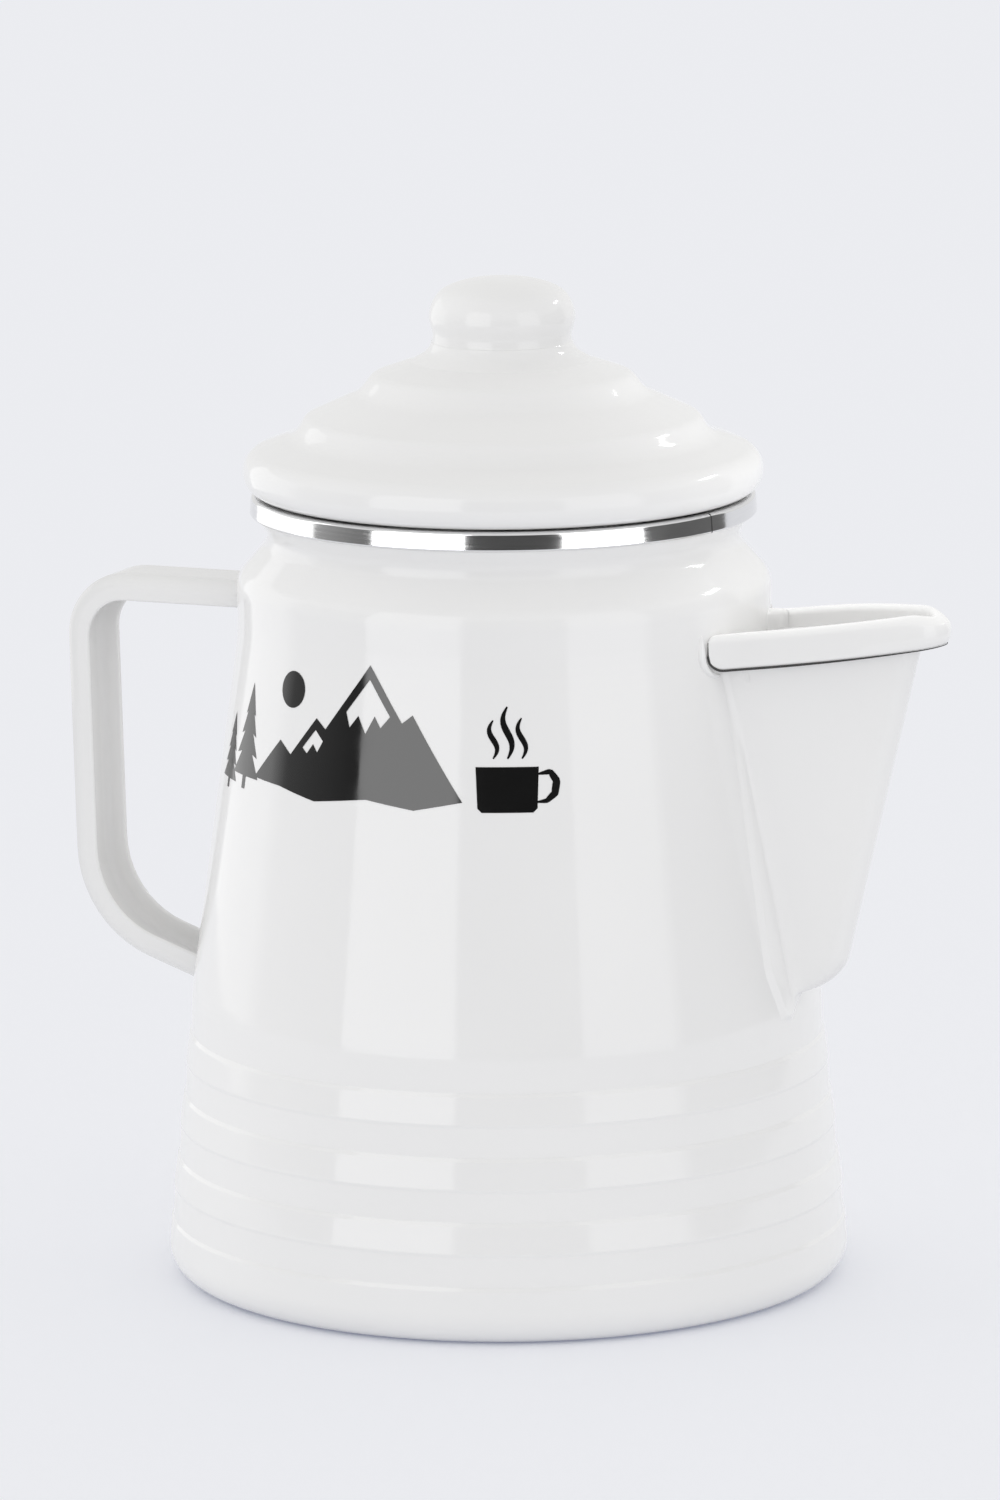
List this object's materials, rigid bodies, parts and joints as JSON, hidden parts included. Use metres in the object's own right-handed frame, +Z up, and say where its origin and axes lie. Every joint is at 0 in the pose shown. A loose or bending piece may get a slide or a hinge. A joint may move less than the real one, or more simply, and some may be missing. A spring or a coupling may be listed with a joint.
{
  "type": "coffee percolator",
  "caption": "White enamelled camping percolator: tapered ringed pot, vee spout, channel handle, steel rim band, stepped knobbed lid and a lift-out basket on a pump stem.",
  "frame": {"origin": "centre of the flat base, on the surface it stands on", "axes": "+Z up along the pot's axis, +X towards the spout's tip, handle towards -X"},
  "size_m": [0.1874, 0.1368, 0.2011],
  "materials": {
    "enamel": "glossy vitreous enamel",
    "polished_steel": "polished stainless steel",
    "satin_steel": "satin stainless steel"
  },
  "bodies": {
    "pot": {"pot_shell": "enamel", "rim_band": "polished_steel", "spout": "enamel", "handle": "enamel"},
    "stem": {"riser_tube": "satin_steel", "pump_bell": "satin_steel", "basket_stop": "satin_steel"},
    "basket": {"basket_cup": "satin_steel", "basket_sleeve": "satin_steel"},
    "spreader": {"basket_spreader": "satin_steel"},
    "lid": {"lid_shell": "enamel", "lid_knob": "enamel", "lid_skirt": "satin_steel"}
  },
  "joints": [
    {"name": "stem_lift", "type": "slide", "parent": "pot", "child": "stem", "axis": [0, 0, 1], "range_m": [0, 0.165]},
    {"name": "basket_lift", "type": "slide", "parent": "stem", "child": "basket", "axis": [0, 0, 1], "range_m": [0, 0.08]},
    {"name": "spreader_lift", "type": "slide", "parent": "basket", "child": "spreader", "axis": [0, 0, 1], "range_m": [0, 0.04]},
    {"name": "lid_lift", "type": "slide", "parent": "spreader", "child": "lid", "axis": [0, 0, 1], "range_m": [0, 0.06]}
  ]
}
